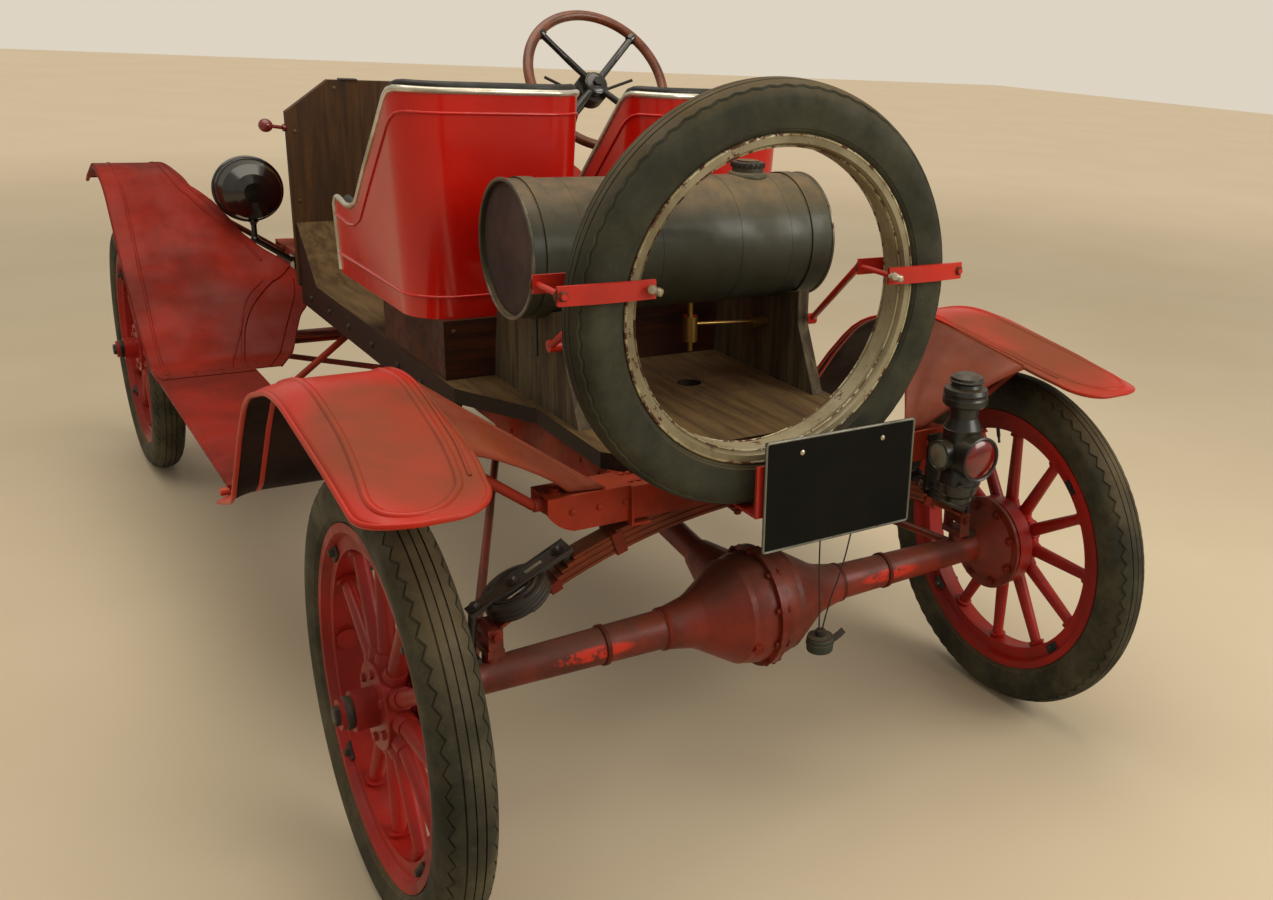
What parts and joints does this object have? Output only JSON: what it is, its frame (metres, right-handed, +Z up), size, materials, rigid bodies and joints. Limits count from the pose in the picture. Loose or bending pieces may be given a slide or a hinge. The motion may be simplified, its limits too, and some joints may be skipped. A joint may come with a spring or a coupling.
{
  "type": "speedster car",
  "caption": "Open two-seat veteran speedster with bucket seats, round rear fuel tank, spoked wheels, spare wheel and a lifting hood",
  "frame": {"origin": "On the ground midway between the axles, centre of the overall box's base", "axes": "+X forward, +Y to the car's left, +Z up"},
  "size_m": [3.3298, 1.612, 1.5147],
  "materials": {
    "red_iron": "worn satin dark red paint with rust",
    "red_body": "worn gloss red paint",
    "red_wood": "red painted wood, worn",
    "tyre_rubber": "aged grey black rubber with dust",
    "bare_rim": "grey cream paint with rust spots",
    "brown_board": "varnished brown plywood, dusty",
    "deck_board": "bare dusty board with stains",
    "black_metal": "aged black enamel",
    "tank_metal": "dusty black green paint",
    "brass_metal": "dull tarnished brass",
    "bright_trim": "dull polished edging",
    "black_leather": "aged black leather",
    "rim_wood": "dark worn wood with black metal spider"
  },
  "bodies": {
    "chassis": {"frame": "red_iron", "rear_spring": "red_iron", "front_spring": "red_iron", "shock_absorbers": "black_metal", "rear_axle": "red_iron", "front_axle": "red_iron", "engine": "black_metal", "radiator": "brass_metal", "hood_sides": "red_body", "dash_board": "brown_board", "floor_deck": "deck_board", "seat_riser": "brown_board", "seat_shell_left": "red_body", "seat_shell_right": "red_body", "seat_cushions": "black_leather", "seat_edgings": "bright_trim", "fuel_tank": "tank_metal", "tank_supports": "brown_board", "tank_straps": "tank_metal", "fuel_tap": "brass_metal", "spare_tyre": "tyre_rubber", "spare_rim": "bare_rim", "spare_carrier": "red_iron", "number_plate": "black_metal", "tail_lamp": "black_metal", "hanging_lamp": "black_metal", "lamp_wire_left": "black_metal", "lamp_wire_right": "black_metal", "headlamps": "black_metal", "side_lamp": "red_iron", "front_fender_left": "red_body", "front_fender_right": "red_body", "rear_fender_left": "red_body", "rear_fender_right": "red_body", "running_boards": "red_body", "board_brackets": "red_iron", "steering_column": "black_metal", "pedals_and_levers": "black_metal", "exhaust": "black_metal"},
    "road_wheel_rear_left": {"wheel_rear_left": "red_wood", "tyre_rear_left": "tyre_rubber"},
    "road_wheel_rear_right": {"wheel_rear_right": "red_wood", "tyre_rear_right": "tyre_rubber"},
    "road_wheel_front_left": {"wheel_front_left": "red_wood", "tyre_front_left": "tyre_rubber"},
    "road_wheel_front_right": {"wheel_front_right": "red_wood", "tyre_front_right": "tyre_rubber"},
    "left_knuckle": {"knuckle_left": "red_iron"},
    "right_knuckle": {"knuckle_right": "red_iron"},
    "steering_link": {"tie_rod": "red_iron", "drag_link": "red_iron"},
    "pitman": {"drop_arm": "red_iron"},
    "hand_wheel": {"steering_wheel": "rim_wood"},
    "left_hood": {"hood_left": "red_body"},
    "right_hood": {"hood_right": "red_body"}
  },
  "joints": [
    {"name": "spin_rear_left", "type": "hinge", "parent": "chassis", "child": "road_wheel_rear_left", "pos_m": [-1.27, 0.711, 0.395], "axis": [0, 1, 0], "continuous": true},
    {"name": "spin_rear_right", "type": "hinge", "parent": "chassis", "child": "road_wheel_rear_right", "pos_m": [-1.27, -0.711, 0.395], "axis": [0, 1, 0], "continuous": true},
    {"name": "steer_left", "type": "hinge", "parent": "chassis", "child": "left_knuckle", "pos_m": [1.27, 0.616, 0.395], "axis": [0, 0, 1], "range_deg": [-30, 30]},
    {"name": "spin_front_left", "type": "hinge", "parent": "left_knuckle", "child": "road_wheel_front_left", "pos_m": [1.27, 0.711, 0.395], "axis": [0, 1, 0], "continuous": true},
    {"name": "steer_right", "type": "hinge", "parent": "chassis", "child": "right_knuckle", "pos_m": [1.27, -0.616, 0.395], "axis": [0, 0, 1], "range_deg": [-30, 30]},
    {"name": "spin_front_right", "type": "hinge", "parent": "right_knuckle", "child": "road_wheel_front_right", "pos_m": [1.27, -0.711, 0.395], "axis": [0, 1, 0], "continuous": true},
    {"name": "link_swing", "type": "hinge", "parent": "left_knuckle", "child": "steering_link", "pos_m": [1.12, 0.616, 0.425], "axis": [0, 0, 1], "range_deg": [-30, 30]},
    {"name": "pitman_swing", "type": "hinge", "parent": "chassis", "child": "pitman", "pos_m": [0.94962, -0.237, 0.6], "axis": [0, 0, 1], "range_deg": [-30, 30]},
    {"name": "hand_wheel_turn", "type": "hinge", "parent": "chassis", "child": "hand_wheel", "pos_m": [-0.05279, -0.237, 1.33082], "axis": [-0.8607, 0, 0.509], "range_deg": [-120, 120]},
    {"name": "hood_left_lift", "type": "hinge", "parent": "chassis", "child": "left_hood", "pos_m": [1.17, 0.014, 1.16], "axis": [1, 0, 0], "range_deg": [0, 80]},
    {"name": "hood_right_lift", "type": "hinge", "parent": "chassis", "child": "right_hood", "pos_m": [1.17, -0.014, 1.16], "axis": [-1, 0, 0], "range_deg": [0, 80]}
  ],
  "couplings": [
    {"joint": "steer_right", "follows": "steer_left", "ratio": 1},
    {"joint": "link_swing", "follows": "steer_left", "ratio": -1},
    {"joint": "pitman_swing", "follows": "steer_left", "ratio": 1},
    {"joint": "hand_wheel_turn", "follows": "steer_left", "ratio": 4}
  ]
}
